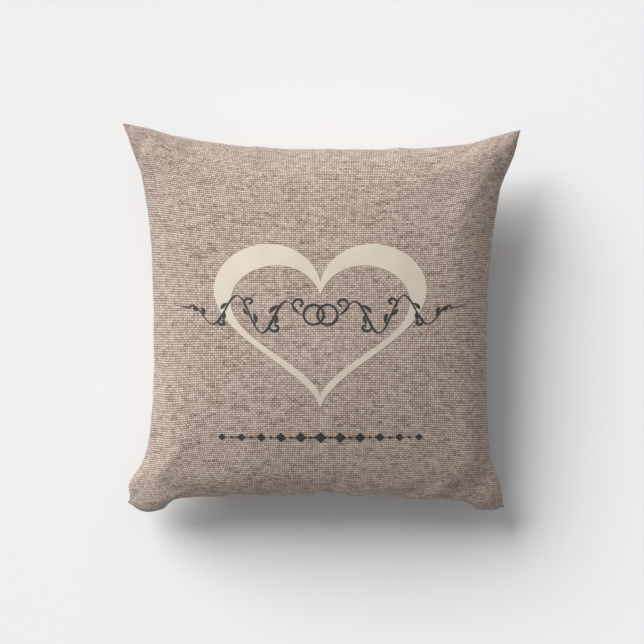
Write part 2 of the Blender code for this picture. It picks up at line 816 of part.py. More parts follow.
def build():
    clear_scene()
    linen = material("linen", (0.33, 0.26, 0.225), 0.9)
    cream_film = material("cream_film", (0.72, 0.62, 0.5), 0.55)
    dark_film = material("dark_film", (0.04, 0.04, 0.042), 0.5)
    ticking = material("ticking", (0.8, 0.79, 0.76), 0.85)
    fibre = material("fibre", (0.85, 0.85, 0.84), 0.95)
    thread = material("thread", (0.36, 0.29, 0.25), 0.7)
    tape = material("zip_tape", (0.3, 0.24, 0.2), 0.8)
    coil = material("zip_coil", (0.28, 0.22, 0.19), 0.4)
    metal = material("zip_metal", (0.42, 0.36, 0.3), 0.3, 1.0)
    label = material("label", (0.85, 0.85, 0.83), 0.7)

    for name, side in (("front", 1), ("back", -1)):
        add_panel(f"cover_{name}", side, COVER_OUTSIDE, COVER_INSIDE, SEAM_ALLOWANCE, LINEN, linen)
        add_panel(
            f"insert_{name}", side, INSERT_OUTSIDE, INSERT_INSIDE, INSERT_ALLOWANCE, TICKING, ticking
        )
    add_filling(fibre)
    add_insert_label(label)

    thread_lift = SEAM_GAP / 2 + SEAM_GAP + THREAD / 2
    for name, side in (("needle", 1), ("bobbin", -1)):
        inset = SEAM_ALLOWANCE * SEAM_LINE_SHARE
        path = seam_path(side, COVER_OUTSIDE, inset, LINEN + thread_lift, True)
        add_tube(f"seam_{name}_thread", path, THREAD, False, thread)
    inset = INSERT_ALLOWANCE * SEAM_LINE_SHARE
    path = seam_path(1, INSERT_OUTSIDE, inset, TICKING + thread_lift, False)
    add_tube("insert_thread", path, THREAD, True, ticking)

    add_heart(cream_film)
    add_scroll("flourish_left", -1, dark_film)
    add_scroll("flourish_right", 1, dark_film)
    add_ring_motif("ring_motif_left", -RING_SPACING / 2, 1, dark_film)
    add_ring_motif("ring_motif_right", RING_SPACING / 2, 2, dark_film)
    add_border(dark_film)

    for name, side in (("front", 1), ("back", -1)):
        add_tape(f"zip_tape_{name}", side, tape)
        add_zip_stitch(f"zip_stitch_{name}", side, thread)
        add_coil(f"zip_coil_{name}", side, coil)
    add_stops(metal)
    slider_joint = add_empty("slider_joint", zip_point(ZIP_TRAVEL / 2, 0.0, 0.0))
    add_slider(slider_joint, metal)
    pull_hinge = add_empty("pull_hinge", zip_point(ZIP_TRAVEL / 2, PIN_HEIGHT, 0.0))
    add_pull(pull_hinge, metal)


build()
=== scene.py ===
"""The looks of a small linen ring bearer pillow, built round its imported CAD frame.

Metres, +Z up, in the CAD model's frame: the pillow lies on its back, front up, with its zip along the side
at -Y. The cover's two panels are blown up as cloth, then fitted to the frame; the motifs are thin films laid
on the front panel.
"""

import json
import math
from collections import namedtuple

import bpy
import numpy as np
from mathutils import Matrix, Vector
from mathutils.bvhtree import BVHTree

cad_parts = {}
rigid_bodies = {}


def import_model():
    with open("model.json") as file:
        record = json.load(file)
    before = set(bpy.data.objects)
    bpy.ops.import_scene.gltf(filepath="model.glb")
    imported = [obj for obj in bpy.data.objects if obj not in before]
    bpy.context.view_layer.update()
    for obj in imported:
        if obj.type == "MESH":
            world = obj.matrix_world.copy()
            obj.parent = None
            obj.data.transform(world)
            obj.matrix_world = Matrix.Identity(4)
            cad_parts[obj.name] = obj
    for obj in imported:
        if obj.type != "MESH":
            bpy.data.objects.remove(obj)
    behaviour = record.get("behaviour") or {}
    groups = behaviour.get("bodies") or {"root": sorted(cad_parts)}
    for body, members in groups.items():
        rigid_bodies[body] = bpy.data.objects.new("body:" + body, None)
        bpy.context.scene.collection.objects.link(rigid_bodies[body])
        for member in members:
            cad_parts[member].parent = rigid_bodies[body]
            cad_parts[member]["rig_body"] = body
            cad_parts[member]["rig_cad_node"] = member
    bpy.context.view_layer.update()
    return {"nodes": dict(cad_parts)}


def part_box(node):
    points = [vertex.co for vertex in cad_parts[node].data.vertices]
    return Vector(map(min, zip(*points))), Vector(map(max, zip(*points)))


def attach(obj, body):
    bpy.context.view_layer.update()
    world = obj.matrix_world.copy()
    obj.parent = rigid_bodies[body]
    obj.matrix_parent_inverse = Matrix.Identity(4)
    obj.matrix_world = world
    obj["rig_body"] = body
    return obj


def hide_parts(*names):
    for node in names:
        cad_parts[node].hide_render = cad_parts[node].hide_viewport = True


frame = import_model()
NODES = frame["nodes"]

# The camera looks straight down on the pillow.
CAMERA_HEIGHT = 1.19
CAMERA_PLACE = (0.001, -0.0006)
CAMERA_LENS = 100

# Soft studio light: a large key from the upper left, a wide lamp overhead and a dim room
KEY_FROM = (-0.78, 0.81, 0.82)
KEY_STRENGTH = 3.55
KEY_SPREAD = 40
OVERHEAD_FROM = (-0.3, 0.55, 1.0)
OVERHEAD_STRENGTH = 0.6
OVERHEAD_SPREAD = 110
AMBIENT = 0.2
FLOOR_GREY = 0.84

# Cloth
FLAT_SIZE = 0.264
SIM_CELLS = 80
SIM_FRAMES = 14
GATHER = 0.8
BROAD_ROUNDS = 30
SIM_PRESSURE = 4.0
SIM_VERTEX_MASS = 0.16
FINER = 2
LINEN_THICKNESS = 0.0007
THREAD_PITCH = 0.00135

# The cover's outline midway between its corners. Along the zip the cloth bulges out over its groove.
MID_HALF_WIDTH = 0.1084
MID_HALF_LENGTH = 0.1106
ZIP_BULGE = 0.005
EAR_PLACE = 0.85
EAR_SPREAD = 0.1
HANG_REACH = 0.05
CROWN_POWER = 2.05
REST_FLATNESS = 1.22
REST_ROUNDING = 0.004

# Zip groove: how far its lips stand out of the tapes, how far it runs past them and fades out, and how far
# into the cloth it and its lips reach
HEM_DEPTH = 0.0017
GROOVE_SPARE = 0.011
GROOVE_RUN_OUT = 0.012
GROOVE_REACH = 0.0085
LIP_REACH = 0.004

# Seams
VALLEY_DEPTH = 0.0012
VALLEY_WIDTH = 0.003
SLIT_HALF_GAP = 0.0008
THREAD_GAUGE = 0.0005
SEAM_THREAD_CELLS = 6

# Short gathers at the seams: how many lie along each side, and the least and most of each size
PUCKERS_BESIDE = 15
PUCKERS_FAR = 13
PUCKERS_AT_ZIP = 16
PUCKER_SPAN = 0.9
PUCKER_WIDTHS = (0.0022, 0.0045)
PUCKER_REACHES = (0.006, 0.016)
PUCKER_SLANTS = (-0.45, 0.45)
PUCKER_HEIGHTS = (-0.00055, 0.0004)
PUCKER_SPREAD = 0.15
PUCKER_FADE = 0.002
OUT_OF_REACH = 9.0

# Broad unevenness
SWELLS = 26
SWELL_SIZES = (0.018, 0.04)
SWELL_HEIGHT = 0.0006
SWELL_FADE = 0.03
RANDOM_SEED = 7

# Films
FILM_LIFT = 0.00012
FILM_THICKNESS = 0.0001


def box_of(name):
    low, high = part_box(name)
    return np.array(low), np.array(high)


COVER_HIGH = box_of("cover_front")[1]
CORNER_X = COVER_HIGH[0]
CORNER_Y = COVER_HIGH[1]
TOP_HEIGHT = COVER_HIGH[2]
TAPE_FRONT_LOW, TAPE_FRONT_HIGH = box_of("zip_tape_front")
TAPE_BACK_HIGH = box_of("zip_tape_back")[1]
ZIP_HEIGHT = (TAPE_FRONT_LOW[2] + TAPE_BACK_HIGH[2]) / 2
ZIP_PLANE_Y = TAPE_FRONT_LOW[1] - HEM_DEPTH
ZIP_HALF = TAPE_FRONT_HIGH[0]
FAR_SEAM_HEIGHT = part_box("cover_back")[1][2]
GROOVE_FLAT_HALF = ZIP_HALF + GROOVE_SPARE
GROOVE_END_HALF = GROOVE_FLAT_HALF + GROOVE_RUN_OUT


# Small helpers


def smooth_step(share):
    share = np.clip(share, 0.0, 1.0)
    return share * share * (3 - 2 * share)


def groove_share(x):
    """1 along the zip's groove, falling to 0 past its ends."""
    return smooth_step((GROOVE_END_HALF - np.abs(x)) / (GROOVE_END_HALF - GROOVE_FLAT_HALF))


def seam_height(y):
    """The sewn edge's height: lower on the zip's side."""
    share = np.clip((y - ZIP_PLANE_Y) / (MID_HALF_LENGTH - ZIP_PLANE_Y), 0.0, 1.0)
    return ZIP_HEIGHT + (FAR_SEAM_HEIGHT - ZIP_HEIGHT) * share


def new_object(name, vertices, faces, material, smooth=True):
    mesh = bpy.data.meshes.new(name)
    mesh.from_pydata([tuple(map(float, v)) for v in vertices], [], faces)
    mesh.validate()
    made = bpy.data.objects.new(name, mesh)
    bpy.context.scene.collection.objects.link(made)
    if material:
        mesh.materials.append(material)
    if smooth:
        mesh.shade_smooth()
    return made


def set_fabric_map(obj, places):
    """Gives each vertex its place on the flat cloth, in metres, as the map that the weave follows."""
    layer = obj.data.uv_layers.new(name="fabric")
    corners = np.empty(len(obj.data.loops), np.int32)
    obj.data.loops.foreach_get("vertex_index", corners)
    layer.data.foreach_set("uv", np.asarray(places, np.float32)[corners].ravel())


def stand_in(made, body, nodes):
    """Gives a piece its body and hides the CAD nodes that it stands for."""
    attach(made, body)
    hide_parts(*nodes)


# Cloth simulation


def sheet_numbers(cells):
    """Vertex numbers of two square grids that share their rim: [front, back]."""
    count = cells + 1
    front = np.arange(count * count).reshape(count, count)
    back = front.copy()
    inner = count - 2
    back[1:-1, 1:-1] = count * count + np.arange(inner * inner).reshape(inner, inner)
    return front, back


def grid_faces(numbers, flip):
    corners = np.stack(
        [numbers[:-1, :-1], numbers[1:, :-1], numbers[1:, 1:], numbers[:-1, 1:]], axis=-1
    ).reshape(-1, 4)
    return [tuple(map(int, c)) for c in (corners[:, ::-1] if flip else corners)]


def flat_places(cells):
    """The unit-square place of each grid vertex, from -1 to 1."""
    steps = np.linspace(-1, 1, cells + 1)
    return np.meshgrid(steps, steps, indexing="ij")


def crowned_steps():
    """Shares of the way to the rim in plan, one for each thread line: even along the cloth, not in plan."""
    plan = np.sin(np.linspace(0, math.pi / 2, 400))
    rise = np.sqrt(np.clip(1 - plan ** CROWN_POWER, 0, None)) * (TOP_HEIGHT - ZIP_HEIGHT) / MID_HALF_WIDTH
    along = np.concatenate([[0], np.cumsum(np.hypot(np.diff(plan), np.diff(rise)))])
    cloth = np.linspace(-1, 1, SIM_CELLS + 1)
    return np.sign(cloth) * np.interp(np.abs(cloth), along / along[-1], plan)


def crowned_panels():
    """The front and the back as smooth crowned grids between the pillow's four sides."""
    steps = crowned_steps()
    u, v = np.meshgrid(steps, steps, indexing="ij")
    x = np.where(u > 0, u * side_target(v, 1, False), u * side_target(v, -1, False))
    y = np.where(v > 0, v * side_target(u, 1, True), v * side_target(u, -1, True))
    rise = np.sqrt(np.clip((1 - np.abs(u) ** CROWN_POWER) * (1 - np.abs(v) ** CROWN_POWER), 0, None))
    seam = seam_height(y)
    front = seam + (TOP_HEIGHT - seam) * rise
    back = seam - soft_limit(seam * rise * REST_FLATNESS, seam, REST_ROUNDING)
    return [np.stack([x, y, height], axis=-1) for height in (front, back)]


def filled(grids):
    """Lets the two panels settle as cloth, sewn at their edges and blown up by their filling.

    The cloth is cut square, so that it has to gather where its sides are drawn in. What the simulation adds
    to the crowned form is its gathers and creases, which are kept, and not its broad swelling.
    """
    front_numbers, back_numbers = sheet_numbers(SIM_CELLS)
    points = joined_points(grids, front_numbers, back_numbers)
    u, v = flat_places(SIM_CELLS)
    flat = np.stack([u, v, 0 * u], axis=-1) * FLAT_SIZE / 2
    pattern = joined_points((flat, flat), front_numbers, back_numbers)
    faces = grid_faces(front_numbers, False) + grid_faces(back_numbers, True)
    cloth = new_object("cloth_being_filled", points, faces, None)
    cloth.shape_key_add(name="as sewn")
    cut = cloth.shape_key_add(name="as cut")
    cut.data.foreach_set("co", pattern.astype(np.float32).ravel())
    settle(cloth, cut)
    graph = bpy.context.evaluated_depsgraph_get()
    settled = np.empty(len(points) * 3, np.float32)
    cloth.evaluated_get(graph).data.vertices.foreach_get("co", settled)
    change = settled.reshape(-1, 3).astype(float) - points
    bpy.data.objects.remove(cloth)
    bpy.context.scene.frame_set(1)
    return [grid + GATHER * fine_part(change[n]) for grid, n in zip(grids, (front_numbers, back_numbers))]


def joined_points(grids, front_numbers, back_numbers):
    points = np.zeros((back_numbers.max() + 1, 3))
    points[back_numbers.ravel()] = grids[1].reshape(-1, 3)
    points[front_numbers.ravel()] = grids[0].reshape(-1, 3)
    return points


def fine_part(field):
    """What is left of a field over a grid when its broad part is taken away."""
    broad = field
    for axis in (0, 1):
        for _ in range(BROAD_ROUNDS):
            padded = np.concatenate(
                [np.take(broad, [0], axis), broad, np.take(broad, [-1], axis)], axis=axis
            )
            count = broad.shape[axis]
            sides = [np.take(padded, range(start, start + count), axis) for start in (0, 1, 2)]
            broad = (sides[0] + 2 * sides[1] + sides[2]) / 4
    return field - broad


def settle(cloth, cut):
    """Runs the cloth simulation on a piece that was cut flat."""
    modifier = cloth.modifiers.new("Cloth", "CLOTH")
    settings = modifier.settings
    settings.quality = 5
    settings.mass = SIM_VERTEX_MASS
    settings.tension_stiffness = 18
    settings.compression_stiffness = 18
    settings.shear_stiffness = 6
    settings.bending_stiffness = 0.3
    settings.air_damping = 1
    settings.use_pressure = True
    settings.uniform_pressure_force = SIM_PRESSURE
    settings.effector_weights.gravity = 0
    settings.rest_shape_key = cut
    modifier.collision_settings.use_collision = False
    modifier.point_cache.frame_start = 1
    modifier.point_cache.frame_end = SIM_FRAMES
    for step in range(1, SIM_FRAMES + 1):
        bpy.context.scene.frame_set(step)


# How far a corner reaches along each axis, and how late each of its two sides flares out to it. Its ears are
# how much its two sides swell just before its tip, which is rounded off by a radius and hangs down by a drop.
Corner = namedtuple("Corner", "reach flares ears radius drop")

# By the signs of X and Y: the two far corners stand out sharply, the two at the zip are rounded and hang.
CORNERS = {
    (-1, 1): Corner((CORNER_X, CORNER_Y + 0.0025), (3.2, 2.2), (0.001, 0.001), 0.004, -0.001),
    (1, 1): Corner((CORNER_X + 0.0025, CORNER_Y - 0.001), (2.5, 4.0), (0.0015, 0.001), 0.006, 0.002),
    (-1, -1): Corner((CORNER_X + 0.003, CORNER_Y - 0.0015), (3.8, 1.7), (0.004, 0.0025), 0.018, 0.009),
    (1, -1): Corner((CORNER_X - 0.005, CORNER_Y - 0.001), (4.6, 1.4), (0.002, 0.0005), 0.011, 0.007),
}


def outline(across, middle, axis, corners):
    """Half the pillow's size at each place across it, between its two corners there."""
    after = (across > 0).astype(int)
    reach = np.array([corner.reach[axis] for corner in corners])[after]
    flare = np.array([corner.flares[axis] for corner in corners])[after]
    ear = np.array([corner.ears[axis] for corner in corners])[after]
    swell = ear * np.exp(-(((np.abs(across) - EAR_PLACE) / EAR_SPREAD) ** 2))
    return middle + (reach - middle) * np.abs(across) ** flare + swell


def side_target(across, sign, along_x):
    """The outline of one side: one of the two at -X and +X if along_x is false."""
    if along_x:
        middle = MID_HALF_LENGTH + (ZIP_BULGE if sign < 0 else 0.0)
        return outline(across, middle, 1, [CORNERS[-1, sign], CORNERS[1, sign]])
    return outline(across, MID_HALF_WIDTH, 0, [CORNERS[sign, -1], CORNERS[sign, 1]])


def round_corner(grids, signs):
    """Rounds a corner off and lets its tip hang, with its cloth gathered into the rounding."""
    corner = CORNERS[signs]
    centre_x = signs[0] * (corner.reach[0] - corner.radius)
    centre_y = signs[1] * (corner.reach[1] - corner.radius)
    rounded = []
    for grid in grids:
        out_x = (grid[..., 0] - centre_x) * signs[0]
        out_y = (grid[..., 1] - centre_y) * signs[1]
        past = (out_x > 0) & (out_y > 0)
        shrink = np.where(past, np.maximum(out_x, out_y) / np.maximum(np.hypot(out_x, out_y), 1e-9), 1.0)
        x = np.where(past, centre_x + signs[0] * out_x * shrink, grid[..., 0])
        y = np.where(past, centre_y + signs[1] * out_y * shrink, grid[..., 1])
        from_tip = np.hypot(x - signs[0] * corner.reach[0], y - signs[1] * corner.reach[1])
        hang = smooth_step(1 - from_tip / HANG_REACH)
        rounded.append(np.stack([x, y, grid[..., 2] - corner.drop * hang], axis=-1))
    return rounded


def soft_limit(value, limit, rounding):
    """The smaller of a value and a limit, with a rounded change between them."""
    mixed = np.clip(0.5 + (limit - value) / (2 * rounding), 0, 1)
    return limit + (value - limit) * mixed - rounding * mixed * (1 - mixed)


def finer(grid):
    """Twice as many cells each way, through a smooth curve along each line."""
    for axis in (0, 1):
        grid = np.moveaxis(grid, axis, 0)
        before = np.concatenate([2 * grid[:1] - grid[1:2], grid[:-2]])
        after = np.concatenate([grid[2:], 2 * grid[-1:] - grid[-2:-1]])
        between = (9 * (grid[:-1] + grid[1:]) - before - after) / 16
        result = np.empty((2 * len(grid) - 1, *grid.shape[1:]))
        result[0::2] = grid
        result[1::2] = between
        grid = np.moveaxis(result, 0, axis)
    return grid


def normals_of(grid, side):
    along_u = np.gradient(grid, axis=0)
    along_v = np.gradient(grid, axis=1)
    normal = np.cross(along_u, along_v) * side
    return normal / np.clip(np.linalg.norm(normal, axis=-1, keepdims=True), 1e-12, None)


class Panel:
    """One of the cover's panels as a fine grid, with each vertex's place on the flat cloth."""

    def __init__(self, grid, side):
        self.grid = grid
        self.side = side
        self.u, self.v = flat_places(len(grid) - 1)
        half = FLAT_SIZE / 2
        self.from_side = (1 - np.abs(self.u)) * half
        self.from_far = (1 - self.v) * half
        self.from_zip = (1 + self.v) * half

    def push(self, amount):
        self.grid = self.grid + normals_of(self.grid, self.side) * amount[..., None]


def sink_seams(panel):
    """Draws the sewn edges in a little, so that a seam lies in a shallow valley."""
    side = VALLEY_DEPTH * np.clip(1 - panel.from_side / VALLEY_WIDTH, 0, 1) ** 2
    far = VALLEY_DEPTH * np.clip(1 - panel.from_far / VALLEY_WIDTH, 0, 1) ** 2
    panel.grid[..., 0] -= np.sign(panel.u) * side
    panel.grid[..., 1] -= far


def open_groove(panel):
    """Draws the lower edge in to the zip, and leaves the slit between the two panels."""
    rim = panel.grid[:, :1]
    share = groove_share(rim[..., 0])
    fade = np.exp(-((panel.from_zip / GROOVE_REACH) ** 2))
    panel.grid[..., 1] += share * (ZIP_PLANE_Y - rim[..., 1]) * fade
    panel.grid[..., 2] += share * (ZIP_HEIGHT - rim[..., 2]) * fade
    lip = np.exp(-((panel.from_zip / LIP_REACH) ** 2))
    panel.grid[..., 2] += panel.side * SLIT_HALF_GAP * share * lip


def pucker(panel, rng):
    """Short gathers that run from the seams into the cloth, each of its own size and slant."""
    half = FLAT_SIZE / 2
    amount = np.zeros_like(panel.u)
    edges = (
        (panel.from_side, np.where(panel.u > 0, panel.v, OUT_OF_REACH) * half, PUCKERS_BESIDE),
        (panel.from_side, np.where(panel.u < 0, panel.v, OUT_OF_REACH) * half, PUCKERS_BESIDE),
        (panel.from_far, panel.u * half, PUCKERS_FAR),
        (panel.from_zip, panel.u * half, PUCKERS_AT_ZIP),
    )
    for depth, along, count in edges:
        for index in range(count):
            place = half * PUCKER_SPAN * (2 * (index + rng.uniform(0.1, 0.9)) / count - 1)
            width = rng.uniform(*PUCKER_WIDTHS)
            reach = rng.uniform(*PUCKER_REACHES)
            slant = rng.uniform(*PUCKER_SLANTS)
            height = rng.uniform(*PUCKER_HEIGHTS)
            ridge = np.exp(-(((along - place - slant * depth) / (width + PUCKER_SPREAD * depth)) ** 2))
            amount += height * ridge * np.exp(-depth / reach) * np.clip(depth / PUCKER_FADE, 0, 1)
    panel.push(amount)


# Folds of the front panel: place on the flat cloth as shares of its half size, direction in degrees from
# +X, length, width and depth in metres.
FRONT_FOLDS = (
    (0.03, -0.86, 62, 0.016, 0.0035, -0.0022),
    (-0.05, -0.83, 150, 0.024, 0.005, -0.0014),
    (-0.42, -0.86, 155, 0.026, 0.005, -0.0022),
    (-0.62, -0.80, 140, 0.022, 0.006, -0.0018),
    (0.34, -0.86, 28, 0.026, 0.005, -0.0018),
    (0.62, -0.82, 45, 0.026, 0.006, -0.0020),
    (0.80, -0.72, 50, 0.030, 0.006, -0.0024),
    (-0.80, -0.74, 128, 0.030, 0.006, -0.0020),
    (0.86, 0.72, 132, 0.026, 0.005, -0.0020),
    (-0.86, 0.78, 48, 0.026, 0.005, -0.0016),
    (0.90, 0.10, 12, 0.018, 0.004, -0.0012),
    (-0.91, -0.20, 172, 0.018, 0.004, -0.0012),
    (-0.28, 0.90, 82, 0.016, 0.004, 0.0012),
    (0.33, 0.91, 96, 0.016, 0.004, 0.0012),
)


def fold(panel, folds):
    """Soft dents and ridges, each a long rounded stroke."""
    half = FLAT_SIZE / 2
    amount = np.zeros_like(panel.u)
    for place_u, place_v, angle, length, width, depth in folds:
        turn = math.radians(angle)
        x = (panel.u - place_u) * half
        y = (panel.v - place_v) * half
        along = x * math.cos(turn) + y * math.sin(turn)
        across = -x * math.sin(turn) + y * math.cos(turn)
        amount += depth * np.exp(-((along / length) ** 2) - (across / width) ** 2)
    panel.push(amount)


def slack(panel, rng):
    """The broad unevenness of a hand-filled pillow."""
    half = FLAT_SIZE / 2
    amount = np.zeros_like(panel.u)
    from_seam = np.minimum(panel.from_side, np.minimum(panel.from_far, panel.from_zip))
    fade = np.clip(from_seam / SWELL_FADE, 0, 1)
    for _ in range(SWELLS):
        place_u, place_v = rng.uniform(-0.9, 0.9, 2)
        size = rng.uniform(*SWELL_SIZES)
        height = rng.uniform(-SWELL_HEIGHT, SWELL_HEIGHT)
        away = ((panel.u - place_u) ** 2 + (panel.v - place_v) ** 2) * half * half
        amount += height * np.exp(-away / size ** 2)
    panel.push(amount * fade)


def cover_panels():
    """The two panels in their final shape."""
    grids = crowned_panels()
    grids = filled(grids)
    for signs in CORNERS:
        grids = round_corner(grids, signs)
    rng = np.random.default_rng(RANDOM_SEED)
    panels = []
    for grid, side in zip(grids, (1, -1)):
        for _ in range(FINER - 1):
            grid = finer(grid)
        panel = Panel(grid, side)
        open_groove(panel)
        sink_seams(panel)
        pucker(panel, rng)
        if side > 0:
            fold(panel, FRONT_FOLDS)
            slack(panel, rng)
        panel.grid[..., 2] = np.maximum(panel.grid[..., 2], 0.0)
        panels.append(panel)
    return panels


def panel_object(name, panel, material):
    """A panel as a closed sheet of cloth with its thickness on the inside."""
    count = len(panel.grid)
    inner = panel.grid - normals_of(panel.grid, panel.side) * LINEN_THICKNESS
    inner[..., 2] = np.maximum(inner[..., 2], LINEN_THICKNESS)
    outer_numbers = np.arange(count * count).reshape(count, count)
    inner_numbers = outer_numbers + count * count
    down = panel.side < 0
    faces = grid_faces(outer_numbers, down) + grid_faces(inner_numbers, not down)
    for outer_edge, inner_edge in zip(edges_of(outer_numbers), edges_of(inner_numbers)):
        for k in range(len(outer_edge) - 1):
            corners = (outer_edge[k], inner_edge[k], inner_edge[k + 1], outer_edge[k + 1])
            corners = tuple(map(int, corners))
            faces.append(corners if down else corners[::-1])
    points = np.concatenate([panel.grid.reshape(-1, 3), inner.reshape(-1, 3)])
    made = new_object(name, points, faces, material)
    places = np.stack([panel.u, panel.v], axis=-1).reshape(-1, 2) * FLAT_SIZE / 2
    set_fabric_map(made, np.concatenate([places, places]))
    return made


def edges_of(numbers):
    """The four edges of a grid of vertex numbers, one after the other round it."""
    return (numbers[:, 0], numbers[-1, :], numbers[::-1, -1], numbers[0, ::-1])


# Films


class Ground:
    """The front panel's surface, for laying films on it."""

    def __init__(self, obj):
        points = [v.co for v in obj.data.vertices]
        self.tree = BVHTree.FromPolygons(points, [p.vertices[:] for p in obj.data.polygons])

    def at(self, x, y):
        place, normal, _, _ = self.tree.ray_cast(Vector((x, y, 1.0)), Vector((0, 0, -1)))
        return place, normal


class Film:
    """Strips of thin film laid on the ground, gathered into one piece."""

    def __init__(self, ground):
        self.ground = ground
        self.vertices = []
        self.faces = []
        self.places = []

    def strip(self, points, left, right, closed=False, lift=0.0, across=4):
        """A strip along points, with its two edges at their own distances from them."""
        self.band(*edge_lines(points, left, right, closed), closed, lift, across)

    def band(self, left, right, closed=False, lift=0.0, across=4):
        """A band of film between two lines."""
        count = len(left)
        lifts = np.broadcast_to(np.asarray(lift, float), (count,))
        top = np.empty((count, across + 1), int)
        bottom = np.empty((count, across + 1), int)
        for k in range(count):
            for m in range(across + 1):
                share = m / across
                x, y = left[k] * (1 - share) + right[k] * share
                place, normal = self.ground.at(x, y)
                height = FILM_LIFT + lifts[k]
                bottom[k, m] = self.add(place + normal * height, x, y)
                top[k, m] = self.add(place + normal * (height + FILM_THICKNESS), x, y)
        if closed:
            top, bottom = np.vstack([top, top[:1]]), np.vstack([bottom, bottom[:1]])
        self.faces += grid_faces(top, True) + grid_faces(bottom, False)
        self.wall(top[:, 0], bottom[:, 0], True)
        self.wall(top[:, -1], bottom[:, -1], False)
        if not closed:
            self.wall(top[0], bottom[0], False)
            self.wall(top[-1], bottom[-1], True)

    def add(self, point, x, y):
        self.vertices.append(point)
        self.places.append((x, y))
        return len(self.vertices) - 1

    def wall(self, top, bottom, flip):
        for k in range(len(top) - 1):
            corners = (int(top[k]), int(bottom[k]), int(bottom[k + 1]), int(top[k + 1]))
            self.faces.append(corners[::-1] if flip else corners)

    def finish(self, name, node, material):
        made = new_object(name, self.vertices, self.faces, material, smooth=False)
        set_fabric_map(made, self.places)
        stand_in(made, "cushion", [node])


def edge_lines(points, left, right, closed):
    points = np.asarray(points, float)
    if closed:
        along = np.roll(points, -1, axis=0) - np.roll(points, 1, axis=0)
    else:
        along = np.gradient(points, axis=0)
    along /= np.clip(np.linalg.norm(along, axis=1, keepdims=True), 1e-12, None)
    normal = np.stack([-along[:, 1], along[:, 0]], axis=1)
    left = points + normal * np.asarray(left)[:, None]
    right = points - normal * np.asarray(right)[:, None]
    return left, right


# Motif sizes, as in the CAD model's films
HEART_LOW, HEART_HIGH = box_of("heart_motif")
HEART_CENTRE = (HEART_LOW + HEART_HIGH) / 2
RING_LOW, RING_HIGH = box_of("ring_motif_left")
RING_RADIUS = (RING_HIGH[0] - RING_LOW[0]) / 2
RING_CENTRE_Y = (RING_HIGH[1] + RING_LOW[1]) / 2
RING_CENTRE_X = (RING_HIGH[0] + RING_LOW[0]) / 2
SCROLL_LOW, SCROLL_HIGH = box_of("flourish_right")
BORDER_LOW, BORDER_HIGH = box_of("border_motif")
HEART_STROKE = 0.0105
HEART_SHIFT = (0.0, -0.003)
HEART_STEPS = 260
RING_BAND = 0.0013
RING_STEPS = 84
RING_LIFT = 0.00016
RING_CROSSING = 0.00014

# Flourishes: a stem that waves, less and less, and sweeps up to its end, drawn with a slanted pen
STEM_STEPS = 170
STEM_WAVES = 2.5
STEM_FADE = 1.15
STEM_SWING = 1.15
STEM_CALM = 0.35
STEM_SWEEP = 0.55
STEM_THIN = 0.00028
STEM_SWELL = 0.00055
PEN_ANGLE = 20
BENDS = 4
BEND_PITCH = 0.2
FIRST_BEND = 0.02
LEAVES_AFTER_BEND = 0.14
STEM_STEP = 0.01
CURL_RADIUS = 0.0052
CURL_SHRINK = 0.0007
CURL_TURNS = 1.05
CURL_LEAN = 0.55
CURL_THIN = 0.0003
CURL_SWELL = 0.0005
CURL_DROP = 0.0009
CURL_DROP_SHRINK = 0.0001
LEAF_STEPS = 24
LEAF_LENGTH = 0.0088
LEAF_SHRINK = 0.001
LEAF_HALF_WIDTH = 0.00115
LEAF_LEAN = 1.6
LEAF_BEND = 1.9
TIP = 0.00005

# Border: a rule with lozenges, and dots between them
LOZENGES = 11
LOZENGE_HALF = 0.0034
LOZENGE_SHRINK = 0.4
LOZENGE_STRETCH = 2.3
LOZENGE_STEPS = 15
RULE_HALF = 0.00024
RULE_STEPS = 120
DOT = 0.0009


def heart_curve(steps):
    """The usual heart curve, scaled to fill a unit square."""
    turn = math.pi + 2 * math.pi * (np.arange(steps) + 0.5) / steps
    x = -16 * np.sin(turn) ** 3 / 32
    y = (13 * np.cos(turn) - 5 * np.cos(2 * turn) - 2 * np.cos(3 * turn) - np.cos(4 * turn) + 2.5) / 29
    return np.stack([x, y], axis=1)


def add_heart(ground, material):
    """A heart drawn as with a broad pen: a smaller heart, set a little lower, is cut out of a larger one."""
    curve = heart_curve(HEART_STEPS)
    size = (HEART_HIGH - HEART_LOW)[:2]
    outer = curve * size + HEART_CENTRE[:2]
    inner = curve * (size - 2 * HEART_STROKE) + HEART_CENTRE[:2] + HEART_SHIFT
    film = Film(ground)
    film.band(inner, outer, closed=True, across=7)
    film.finish("heart_film", "heart_motif", material)


def scroll_stem(share):
    """The stem's place from its start near the middle, share 0, to its swash end, share 1."""
    fade = np.sin(math.pi * np.minimum(share * STEM_FADE, 1.0)) ** 0.5
    wave = np.sin(2 * math.pi * STEM_WAVES * share)
    rise = SCROLL_HIGH[1] - RING_CENTRE_Y
    x = SCROLL_LOW[0] + (SCROLL_HIGH[0] - SCROLL_LOW[0]) * share
    swing = STEM_SWING * wave * fade * (1 - STEM_CALM * share)
    return x, RING_CENTRE_Y + rise * (swing + STEM_SWEEP * share ** 3)


def leaf_widths(count, size, point=1.4):
    share = np.linspace(0, 1, count)
    return size * np.sin(math.pi * share ** point) ** 0.9 + TIP


def curl(start, heading, radius, turns, hand, steps=64):
    """A spiral that leaves its start along a heading and winds in on itself."""
    share = np.linspace(0, 1, steps)
    angle = heading + hand * 2 * math.pi * turns * share
    step = radius * 2 * math.pi * turns / steps * (1 - share) ** 0.9
    x = start[0] + np.cumsum(np.cos(angle) * step)
    y = start[1] + np.cumsum(np.sin(angle) * step)
    return np.stack([x, y], axis=1)


